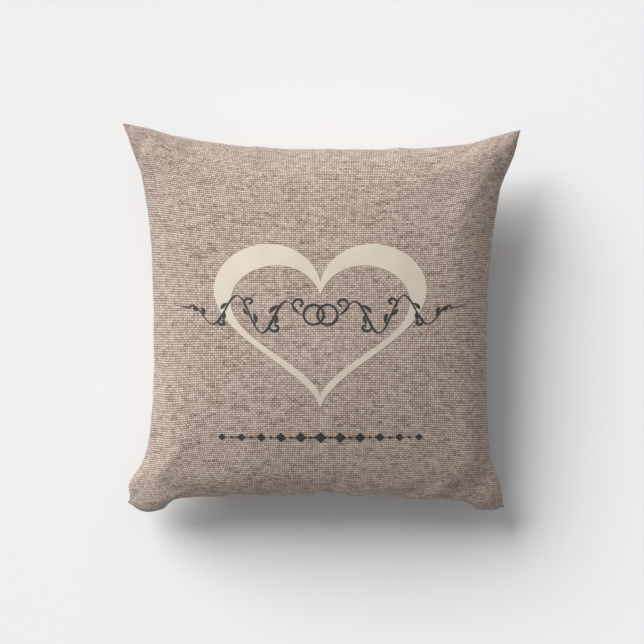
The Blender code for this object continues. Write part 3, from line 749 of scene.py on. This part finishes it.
def add_scroll(ground, name, node, hand, material):
    """A waving stem with curls in its bends, leaves along it and a long swash at its end."""
    film = Film(ground)
    share = np.linspace(0, 1, STEM_STEPS)
    x, y = scroll_stem(share)
    points = np.stack([hand * x, y], axis=1)
    slope = np.arctan2(np.gradient(y), np.gradient(x))
    width = STEM_THIN + STEM_SWELL * np.sin(slope - math.radians(PEN_ANGLE)) ** 2 * (1 - 0.5 * share)
    width *= smooth_step((1 - share) / 0.12) * 0.8 + 0.2
    film.strip(points, width, width, across=2)
    for index in range(BENDS):
        bend = FIRST_BEND + BEND_PITCH * index
        add_curl(film, bend, index, hand)
        add_leaves(film, bend + LEAVES_AFTER_BEND, index, hand)
    film.finish(name, node, material)


def add_curl(film, place, index, hand):
    """A curl that branches from the stem into the hollow of its next bend."""
    side = -1 if index % 2 else 1
    x, y = scroll_stem(np.array([place, place + STEM_STEP]))
    heading = math.atan2(y[1] - y[0], x[1] - x[0]) - side * CURL_LEAN
    points = curl((x[0], y[0]), heading, CURL_RADIUS - CURL_SHRINK * index, CURL_TURNS, side)
    share = np.linspace(0, 1, len(points))
    width = CURL_THIN + CURL_SWELL * np.sin(math.pi * share) ** 2
    points[:, 0] *= hand
    film.strip(points, width, width, lift=0.00002, across=2)
    add_drop(film, points[-1], CURL_DROP - CURL_DROP_SHRINK * index)


def add_drop(film, place, radius, steps=20):
    """A round dot."""
    angle = np.linspace(0, 2 * math.pi, steps, endpoint=False)
    ring = np.stack([np.cos(angle), np.sin(angle)], axis=1) * radius / 2 + place
    width = np.full(steps, radius / 2)
    film.strip(ring, width * 0.98, width, closed=True, lift=0.00004, across=1)


def add_leaves(film, place, index, hand):
    """Two small leaves that spring from the stem one after the other, curving forward along it."""
    for offset, spread, size in ((0.0, 0.55, 1.0), (0.035, -0.5, 0.8)):
        x, y = scroll_stem(np.array([place + offset, place + offset + STEM_STEP]))
        heading = math.atan2(y[1] - y[0], x[1] - x[0]) + spread * LEAF_LEAN
        length = (LEAF_LENGTH - LEAF_SHRINK * index) * size
        share = np.linspace(0, 1, LEAF_STEPS)
        turn = heading - spread * LEAF_BEND * share
        step = length / LEAF_STEPS
        px = x[0] + np.cumsum(np.cos(turn)) * step
        py = y[0] + np.cumsum(np.sin(turn)) * step
        width = leaf_widths(LEAF_STEPS, LEAF_HALF_WIDTH * size)
        film.strip(np.stack([hand * px, py], axis=1), width, width, lift=0.00003, across=2)


def add_ring(ground, name, node, centre_x, first, material):
    """One of two linked rings: it passes over the other at one crossing and under it at the next."""
    angle = 2 * math.pi * np.arange(RING_STEPS) / RING_STEPS
    radius = RING_RADIUS - RING_BAND / 2
    points = np.stack([centre_x + radius * np.cos(angle), RING_CENTRE_Y + radius * np.sin(angle)], axis=1)
    over = np.sin(angle) if first else -np.sin(angle)
    lift = RING_LIFT + RING_CROSSING * over
    width = np.full(RING_STEPS, RING_BAND / 2)
    film = Film(ground)
    film.strip(points, width, width, closed=True, lift=lift, across=3)
    film.finish(name, node, material)


def add_border(ground, material):
    """A thin rule with lozenges on it, largest in the middle, and dots between them."""
    film = Film(ground)
    middle = (BORDER_LOW + BORDER_HIGH) / 2
    length = BORDER_HIGH[0] - BORDER_LOW[0]
    pitch = length / (LOZENGES - 1)
    share = np.linspace(-0.5, 0.5, RULE_STEPS)
    points = np.stack([middle[0] + share * length, np.full(RULE_STEPS, middle[1])], axis=1)
    width = RULE_HALF * (1 - np.abs(share))
    film.strip(points, width, width, across=1)
    for index in range(LOZENGES):
        offset = index - (LOZENGES - 1) / 2
        size = LOZENGE_HALF * (1 - LOZENGE_SHRINK * abs(offset) / (LOZENGES / 2))
        share = np.linspace(0, 1, LOZENGE_STEPS)
        x = middle[0] + offset * pitch + (share - 0.5) * LOZENGE_STRETCH * size
        along = np.stack([x, np.full(LOZENGE_STEPS, middle[1])], axis=1)
        width = size * (1 - np.abs(2 * share - 1)) + TIP
        film.strip(along, width, width, lift=0.00002, across=2)
        if index:
            add_drop(film, (middle[0] + (offset - 0.5) * pitch, middle[1]), DOT)
    film.finish("border_film", "border_motif", material)


# Materials


class Shader:
    """A material's node tree, with short calls for the nodes that the finishes use."""

    def __init__(self, name, roughness, metallic=0.0, sheen=0.0):
        self.material = bpy.data.materials.new(name)
        self.material.use_nodes = True
        self.tree = self.material.node_tree
        self.surface = self.tree.nodes["Principled BSDF"]
        self.surface.inputs["Roughness"].default_value = roughness
        self.surface.inputs["Metallic"].default_value = metallic
        self.surface.inputs["Sheen Weight"].default_value = sheen
        self.surface.inputs["Sheen Roughness"].default_value = 0.5

    def node(self, kind, **settings):
        made = self.tree.nodes.new(kind)
        for key, value in settings.items():
            setattr(made, key, value)
        return made

    def plug(self, socket, value):
        if isinstance(value, bpy.types.NodeSocket):
            self.tree.links.new(value, socket)
        elif value is not None:
            socket.default_value = value

    def math(self, operation, first, second=None, third=None):
        made = self.node("ShaderNodeMath", operation=operation)
        for socket, value in zip(made.inputs, (first, second, third)):
            self.plug(socket, value)
        return made.outputs[0]

    def fabric(self, scale):
        """The flat cloth's coordinates times a scale, as two sockets."""
        place = self.node("ShaderNodeUVMap", uv_map="fabric").outputs[0]
        split = self.node("ShaderNodeSeparateXYZ")
        self.plug(split.inputs[0], place)
        return self.math("MULTIPLY", split.outputs[0], scale), self.math("MULTIPLY", split.outputs[1], scale)

    def join(self, x, y, z=0.0):
        made = self.node("ShaderNodeCombineXYZ")
        for socket, value in zip(made.inputs, (x, y, z)):
            self.plug(socket, value)
        return made.outputs[0]

    def object_place(self):
        return self.node("ShaderNodeTexCoord").outputs["Object"]

    def noise(self, place, scale, detail=2.0, roughness=0.5):
        made = self.node("ShaderNodeTexNoise")
        self.plug(made.inputs["Vector"], place)
        made.inputs["Scale"].default_value = scale
        made.inputs["Detail"].default_value = detail
        made.inputs["Roughness"].default_value = roughness
        return made.outputs[0]

    def bands(self, place, scale, distortion=0.0):
        made = self.node("ShaderNodeTexWave", wave_type="BANDS", bands_direction="DIAGONAL")
        self.plug(made.inputs["Vector"], place)
        made.inputs["Scale"].default_value = scale
        made.inputs["Distortion"].default_value = distortion
        return made.outputs[0]

    def speckle(self, place):
        made = self.node("ShaderNodeTexWhiteNoise", noise_dimensions="3D")
        self.plug(made.inputs["Vector"], place)
        return made.outputs[0]

    def ramp(self, value, *stops):
        made = self.node("ShaderNodeValToRGB")
        self.plug(made.inputs[0], value)
        elements = made.color_ramp.elements
        while len(elements) < len(stops):
            elements.new(0.5)
        for element, (place, colour) in zip(elements, stops):
            element.position = place
            element.color = (*colour, 1.0)
        return made.outputs[0]

    def span(self, value, low, high, to_low, to_high):
        made = self.node("ShaderNodeMapRange")
        for socket, number in zip(made.inputs, (value, low, high, to_low, to_high)):
            self.plug(socket, number)
        return made.outputs[0]

    def colour(self, value):
        self.plug(self.surface.inputs["Base Color"], value)

    def rough(self, value):
        self.plug(self.surface.inputs["Roughness"], value)

    def bump(self, height, distance, strength=1.0):
        made = self.node("ShaderNodeBump")
        made.inputs["Strength"].default_value = strength
        made.inputs["Distance"].default_value = distance
        self.plug(made.inputs["Height"], height)
        self.plug(self.surface.inputs["Normal"], made.outputs[0])


def plain_weave(shader, pitch, wobble):
    """A plain weave's height, from 0 in its holes to 1 on its threads, and the numbers of its threads."""
    s, t = shader.fabric(1 / pitch)
    drift = shader.noise(shader.join(s, t), 0.11, 2.0)
    s = shader.math("MULTIPLY_ADD", drift, wobble, s)
    t = shader.math("MULTIPLY_ADD", drift, -wobble, t)
    warp_number, weft_number = shader.math("FLOOR", s), shader.math("FLOOR", t)
    off_warp = centre_distance(shader, s)
    off_weft = centre_distance(shader, t)
    parity = shader.math("PINGPONG", shader.math("ADD", warp_number, weft_number), 1.0)
    warp_height = thread_height(shader, off_warp, off_weft)
    weft_height = thread_height(shader, off_weft, off_warp)
    height = shader.math(
        "MULTIPLY_ADD", parity, shader.math("SUBTRACT", weft_height, warp_height), warp_height
    )
    return height, parity, (s, t), (warp_number, weft_number)


def centre_distance(shader, value):
    """How far a coordinate is from its thread's middle: 0 there, 1 at its edges."""
    share = shader.math("FRACT", value)
    return shader.math("ABSOLUTE", shader.math("MULTIPLY_ADD", share, 2.0, -1.0))


def thread_height(shader, across, along):
    """A thread's rounded top: highest in its middle, dipping where it goes under the next."""
    square = shader.math("MULTIPLY", across, across)
    body = shader.math("SQRT", shader.math("SUBTRACT", 1.04, square))
    dip = shader.math("MULTIPLY", shader.math("MULTIPLY", along, along), -0.5)
    return shader.math("MULTIPLY", body, shader.math("ADD", dip, 1.0))


def linen():
    """Coarse linen: a plain weave of uneven taupe yarns, a pale warp under a darker weft with fine slubs."""
    shader = Shader("linen", 0.92, sheen=0.1)
    height, parity, (s, t), (warp, weft) = plain_weave(shader, THREAD_PITCH, 0.5)
    weft_row = shader.math("MULTIPLY", weft, 7.31)
    warp_row = shader.math("MULTIPLY", warp, 5.77)
    weft_slub = shader.noise(shader.join(shader.math("MULTIPLY", s, 0.2), weft_row, 3.37), 1.0, 2.0, 0.6)
    warp_slub = shader.noise(shader.join(warp_row, shader.math("MULTIPLY", t, 0.2), 7.41), 1.0, 2.0, 0.6)
    own = shader.speckle(shader.join(warp, weft, 1.0))
    slub = shader.math("MULTIPLY_ADD", parity, shader.math("SUBTRACT", weft_slub, warp_slub), warp_slub)
    weft_tone = shader.span(parity, 0.0, 1.0, 0.05, -0.05)
    weft_dark = shader.span(weft_slub, 0.3, 0.46, -0.12, 0.0)
    tone = shader.math("MULTIPLY_ADD", slub, 0.2, weft_tone)
    tone = shader.math("MULTIPLY_ADD", weft_slub, 0.24, tone)
    tone = shader.math("ADD", tone, weft_dark)
    tone = shader.math("MULTIPLY_ADD", own, 0.24, tone)
    # Painted shade in the weave: darker in the furrows between the weft rows and in the holes between the
    # threads, lighter on the thread tops.
    furrow_shade = centre_distance(shader, t)
    tone = shader.math("MULTIPLY_ADD", shader.math("MULTIPLY", furrow_shade, furrow_shade), -0.26, tone)
    tone = shader.math("MULTIPLY_ADD", height, 0.5, shader.math("SUBTRACT", tone, 0.12))
    broad = shader.noise(shader.join(s, t), 0.035, 2.0)
    tone = shader.math("MULTIPLY_ADD", broad, 0.1, shader.math("SUBTRACT", tone, 0.05))
    shader.colour(
        shader.ramp(
            tone,
            (0.0, (0.12, 0.076, 0.056)),
            (0.28, (0.255, 0.18, 0.143)),
            (0.5, (0.45, 0.345, 0.29)),
            (0.75, (0.63, 0.525, 0.46)),
            (1.0, (0.82, 0.73, 0.665)),
        )
    )
    fuzz = shader.noise(shader.join(s, t), 6.0, 3.0, 0.7)
    relief = shader.math("MULTIPLY_ADD", fuzz, 0.2, shader.math("MULTIPLY_ADD", slub, 0.3, height))
    shader.bump(relief, 0.00028)
    shader.rough(shader.span(fuzz, 0.2, 0.8, 0.86, 0.98))
    return shader.material


def film(name, colour, deep, roughness):
    """Heat-pressed film: nearly flat, with the weave showing through as a faint relief and a faint painted
    shade.
    """
    shader = Shader(name, roughness)
    height, _, (s, t), _ = plain_weave(shader, THREAD_PITCH, 0.6)
    tone = shader.noise(shader.join(s, t), 0.07, 3.0)
    fine = shader.noise(shader.join(s, t), 1.9, 2.0)
    tone = shader.math("MULTIPLY_ADD", fine, 0.25, tone)
    # Painted shade: the film is a little darker over the weave's holes and lighter over its threads.
    tone = shader.math("MULTIPLY_ADD", height, 0.08, tone)
    shader.colour(shader.ramp(tone, (0.35, deep), (0.85, colour)))
    shader.bump(height, 0.00003)
    shader.rough(shader.span(fine, 0.2, 0.8, roughness - 0.06, roughness + 0.08))
    return shader.material


def woven_tape(name, dark, light, scale):
    """A fine twill, in the piece's own coordinates."""
    shader = Shader(name, 0.8, sheen=0.1)
    place = shader.object_place()
    wave = shader.bands(place, scale, 1.5)
    # Partly painted shade: the twill's ribs are darker in their grooves and lighter on their ridges, with a
    # random tone of the yarn over them.
    tone = shader.math("MULTIPLY_ADD", shader.noise(place, scale * 0.4, 3.0), 0.6, wave)
    shader.colour(shader.ramp(tone, (0.2, dark), (1.1, light)))
    shader.bump(wave, 0.0001)
    return shader.material


def thread(name, dark, light):
    """Twisted sewing thread."""
    shader = Shader(name, 0.65, sheen=0.2)
    wave = shader.bands(shader.object_place(), 900.0)
    # Painted shade: the twist is darker in its grooves and lighter on its ridges.
    shader.colour(shader.ramp(wave, (0.1, dark), (0.9, light)))
    shader.bump(wave, 0.00006)
    return shader.material


def moulded(name, dark, light, roughness):
    """Drawn nylon: a little mottled, with fine scuffs in its gloss."""
    shader = Shader(name, roughness)
    place = shader.object_place()
    tone = shader.noise(place, 700.0, 3.0)
    shader.colour(shader.ramp(tone, (0.3, dark), (0.7, light)))
    shader.rough(shader.span(shader.noise(place, 2600.0, 2.0), 0.3, 0.7, roughness - 0.1, roughness + 0.15))
    shader.bump(tone, 0.00002)
    return shader.material


def lacquered(name):
    """Zinc alloy in a brown-grey lacquer, worn bright at its edges."""
    shader = Shader(name, 0.35, metallic=0.85)
    place = shader.object_place()
    edge = shader.node("ShaderNodeNewGeometry").outputs["Pointiness"]
    grain = shader.noise(place, 1500.0, 4.0, 0.6)
    wear = shader.math("MULTIPLY_ADD", grain, 0.12, shader.math("SUBTRACT", edge, 0.06))
    shader.colour(
        shader.ramp(wear, (0.47, (0.17, 0.14, 0.12)), (0.53, (0.24, 0.2, 0.17)), (0.6, (0.5, 0.46, 0.41)))
    )
    shader.rough(shader.span(grain, 0.3, 0.7, 0.28, 0.48))
    shader.bump(grain, 0.00001)
    return shader.material


def wadding():
    """Polyester wadding: soft, matted fibres."""
    shader = Shader("wadding", 0.98, sheen=0.3)
    place = shader.object_place()
    strands = shader.noise(place, 420.0, 6.0, 0.75)
    shader.colour(shader.ramp(strands, (0.3, (0.62, 0.62, 0.6)), (0.65, (0.9, 0.9, 0.88))))
    shader.bump(strands, 0.0012)
    return shader.material


def floor_finish():
    """A pale matt floor with the slightest unevenness."""
    shader = Shader("pale_floor", 0.9)
    tone = shader.noise(shader.object_place(), 3.0, 3.0)
    pale, paler = [(FLOOR_GREY + lift,) * 3 for lift in (-0.004, 0.004)]
    shader.colour(shader.ramp(tone, (0.2, pale), (0.8, paler)))
    return shader.material


# Inner pillow


INSERT_ZIP_SPARE = 0.0018
INSERT_INSET = 0.0145
INSERT_HEIGHT_SHARE = 0.9
WADDING_INSET = 0.019
WADDING_HEIGHT_SHARE = 0.86


def shrunk(panel, step, inset, middle_height, height_share):
    """A panel's shape drawn in towards the pillow's middle, on a coarser grid, and straight along the zip."""
    grid = panel.grid[::step, ::step]
    share_x = 1 - inset / MID_HALF_WIDTH
    share_y = 1 - inset / MID_HALF_LENGTH
    height = middle_height + (grid[..., 2] - middle_height) * height_share
    zip_side = MID_HALF_LENGTH + INSERT_ZIP_SPARE - inset
    y = -soft_limit(-grid[..., 1] * share_y, zip_side, REST_ROUNDING)
    return np.stack([grid[..., 0] * share_x, y, height], axis=-1)


def filled_form(name, front, back, material):
    """A closed stuffed form from a front and a back grid, sewn along their shared rim."""
    front_numbers, back_numbers = sheet_numbers(len(front) - 1)
    points = np.zeros((back_numbers.max() + 1, 3))
    points[back_numbers.ravel()] = back.reshape(-1, 3)
    rim = front_numbers == back_numbers
    joined = np.where(rim[..., None], (front + back) / 2, front)
    points[front_numbers.ravel()] = joined.reshape(-1, 3)
    faces = grid_faces(front_numbers, False) + grid_faces(back_numbers, True)
    made = new_object(name, points, faces, material)
    u, v = flat_places(len(front) - 1)
    places = np.zeros((len(points), 2))
    places[back_numbers.ravel()] = np.stack([u, v], axis=-1).reshape(-1, 2) * FLAT_SIZE / 2
    places[front_numbers.ravel()] = places[front_numbers.ravel()]
    set_fabric_map(made, places)
    return made


def add_inner_pillow(panels, cotton, fibres):
    """The inner pillow and its wadding, each the cover's shape drawn in by its own inset."""
    cover = (("insert_front", "insert_back"), "ticking", 0.75)
    core = (("fibre_fill",), "fibre", 0.6)
    for name, material, inset, height_share, (nodes, slot, fill) in (
        ("inner_pillow", cotton, INSERT_INSET, INSERT_HEIGHT_SHARE, cover),
        ("wadding", fibres, WADDING_INSET, WADDING_HEIGHT_SHARE, core),
    ):
        grids = [shrunk(panel, 2, inset, TOP_HEIGHT / 2, height_share) for panel in panels]
        made = filled_form(name, *grids, material)
        stand_in(made, "cushion", nodes)


def ticking():
    """Fine white cotton, a close plain weave."""
    shader = Shader("cotton_ticking", 0.85, sheen=0.1)
    height, _, (s, t), _ = plain_weave(shader, 0.0006, 0.4)
    # Partly painted shade: darker in the weave's holes and lighter on the thread tops, with a random tone of
    # the cotton over it.
    tone = shader.math("MULTIPLY_ADD", shader.noise(shader.join(s, t), 0.05, 2.0), 0.4, height)
    shader.colour(shader.ramp(tone, (0.1, (0.6, 0.59, 0.56)), (1.2, (0.86, 0.85, 0.82))))
    shader.bump(height, 0.0001)
    return shader.material


# Zip


def softened(name, node, body, material, width):
    """A CAD piece with its edges rounded off."""
    made = NODES[node].copy()
    made.data = NODES[node].data.copy()
    made.name = made.data.name = name
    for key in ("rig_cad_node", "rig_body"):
        if key in made:
            del made[key]
    made.parent = None
    bpy.context.scene.collection.objects.link(made)
    made.data.materials.clear()
    made.data.materials.append(material)
    weld = made.modifiers.new("weld", "WELD")
    weld.merge_threshold = 0.000005
    bevel = made.modifiers.new("rounded edges", "BEVEL")
    bevel.width = width
    bevel.segments = 3
    bevel.limit_method = "ANGLE"
    bevel.angle_limit = math.radians(35)
    bevel.harden_normals = True
    made.data.shade_smooth()
    stand_in(made, body, [node])


def add_coil(name, node, side, material):
    """A zip's coil row: a monofilament wound in flattened loops."""
    low, high = box_of(node)
    centre_y, centre_z = (low[1] + high[1]) / 2, (low[2] + high[2]) / 2
    gauge = 0.00042
    pitch = 0.0014
    turns = int((high[0] - low[0] - gauge) / pitch)
    per_turn = 12
    points = []
    for k in range(turns * per_turn + 1):
        angle = 2 * math.pi * k / per_turn * side
        x = low[0] + gauge + pitch * k / per_turn
        y = centre_y + ((high[1] - low[1]) / 2 - gauge / 2) * math.sin(angle)
        z = centre_z + ((high[2] - low[2]) / 2 - gauge / 2) * math.cos(angle)
        points.append((x, y, z))
    add_tube(name, node, points, gauge, material)


def add_zip():
    tape = woven_tape("zip_tape_twill", (0.13, 0.095, 0.075), (0.3, 0.235, 0.19), 500.0)
    nylon = moulded("coil_nylon", (0.2, 0.15, 0.12), (0.33, 0.26, 0.21), 0.35)
    metal = lacquered("zip_lacquer")
    for node in ("zip_tape_front", "zip_tape_back"):
        dress(node, tape)
    for node in ("zip_top_stop_front", "zip_top_stop_back", "zip_bottom_stop"):
        dress(node, metal)
    add_coil("coil_front", "zip_coil_front", 1, nylon)
    add_coil("coil_back", "zip_coil_back", -1, nylon)
    softened("slider", "zip_slider", "slider", metal, 0.00018)
    softened("pull_tab", "zip_pull", "pull", metal, 0.00022)


def dress(node, material):
    """Gives a carried-over CAD node its finish."""
    for slot in NODES[node].material_slots:
        slot.material = material


def add_seam_threads(panels, material):
    """The two threads of the cover's seam, side by side inside it, on the three sides that it closes."""
    count = len(panels[0].grid)
    inset = SEAM_THREAD_CELLS
    last = count - 1 - inset
    route = [(inset, k) for k in range(inset * 4, last)]
    route += [(k, last) for k in range(inset, last)]
    route += [(last, k) for k in range(last, inset * 4 - 1, -1)]
    middle = (panels[0].grid + panels[1].grid) / 2
    for name, node, lift in (
        ("seam_thread_upper", "seam_needle_thread", THREAD_GAUGE),
        ("seam_thread_lower", "seam_bobbin_thread", -THREAD_GAUGE),
    ):
        points = [middle[i, j] + (0, 0, lift) for i, j in route]
        add_tube(name, node, points, THREAD_GAUGE, material)


def add_tube(name, node, points, gauge, material):
    """A round thread or filament through the points."""
    curve = bpy.data.curves.new(name, "CURVE")
    curve.dimensions = "3D"
    curve.bevel_depth = gauge / 2
    curve.bevel_resolution = 1
    curve.use_fill_caps = True
    spline = curve.splines.new("POLY")
    spline.points.add(len(points) - 1)
    for place, point in zip(spline.points, points):
        place.co = (*point, 1.0)
    made = bpy.data.objects.new(name, curve)
    bpy.context.scene.collection.objects.link(made)
    curve.materials.append(material)
    stand_in(made, "cushion", [node])


def add_threads(panels):
    brown = thread("linen_thread", (0.2, 0.15, 0.12), (0.42, 0.34, 0.29))
    white = thread("white_thread", (0.5, 0.49, 0.46), (0.85, 0.84, 0.8))
    add_seam_threads(panels, brown)
    for node in ("zip_stitch_front", "zip_stitch_back"):
        dress(node, brown)
    dress("insert_thread", white)
    dress("insert_label", woven_tape("label_satin", (0.6, 0.6, 0.58), (0.88, 0.88, 0.86), 900.0))


# Stage


def add_sun(name, strength, spread, comes_from):
    lamp = bpy.data.lights.new(name, "SUN")
    lamp.energy = strength
    lamp.angle = math.radians(spread)
    made = bpy.data.objects.new(name, lamp)
    made.rotation_euler = Vector(comes_from).to_track_quat("Z", "Y").to_euler()
    bpy.context.scene.collection.objects.link(made)


def add_stage():
    size = 3.0
    corners = [(-size, -size, 0), (size, -size, 0), (size, size, 0), (-size, size, 0)]
    floor = new_object("floor", corners, [(0, 1, 2, 3)], floor_finish(), smooth=False)
    add_sun("key", KEY_STRENGTH, KEY_SPREAD, KEY_FROM)
    add_sun("overhead", OVERHEAD_STRENGTH, OVERHEAD_SPREAD, OVERHEAD_FROM)
    world = bpy.data.worlds.new("studio")
    world.use_nodes = True
    background = world.node_tree.nodes["Background"]
    background.inputs["Color"].default_value = (0.97, 0.985, 1.0, 1.0)
    background.inputs["Strength"].default_value = AMBIENT
    bpy.context.scene.world = world
    bpy.context.scene.view_settings.view_transform = "Standard"


def add_camera():
    lens = bpy.data.cameras.new("camera")
    lens.lens = CAMERA_LENS
    camera = bpy.data.objects.new("camera", lens)
    camera.location = (*CAMERA_PLACE, CAMERA_HEIGHT)
    bpy.context.scene.collection.objects.link(camera)
    bpy.context.scene.camera = camera


def add_cover(panels):
    """The two linen panels, each a sheet cut square and stretched over the filling."""
    material = linen()
    names = (("linen_front", "cover_front"), ("linen_back", "cover_back"))
    made = []
    for panel, (name, node) in zip(panels, names):
        piece = panel_object(name, panel, material)
        stand_in(piece, "cushion", [node])
        made.append(piece)
    return made


def add_motifs(front):
    ground = Ground(front)
    cream = film("cream_film", (0.65, 0.575, 0.475), (0.58, 0.505, 0.41), 0.65)
    dark = film("dark_film", (0.040, 0.040, 0.043), (0.026, 0.026, 0.028), 0.75)
    add_heart(ground, cream)
    add_scroll(ground, "flourish_film_left", "flourish_left", -1, dark)
    add_scroll(ground, "flourish_film_right", "flourish_right", 1, dark)
    add_ring(ground, "ring_film_left", "ring_motif_left", RING_CENTRE_X, True, dark)
    add_ring(ground, "ring_film_right", "ring_motif_right", -RING_CENTRE_X, False, dark)
    add_border(ground, dark)


def main():
    add_camera()
    add_stage()
    panels = cover_panels()
    front, _ = add_cover(panels)
    add_motifs(front)
    add_inner_pillow(panels, ticking(), wadding())
    add_zip()
    add_threads(panels)


main()
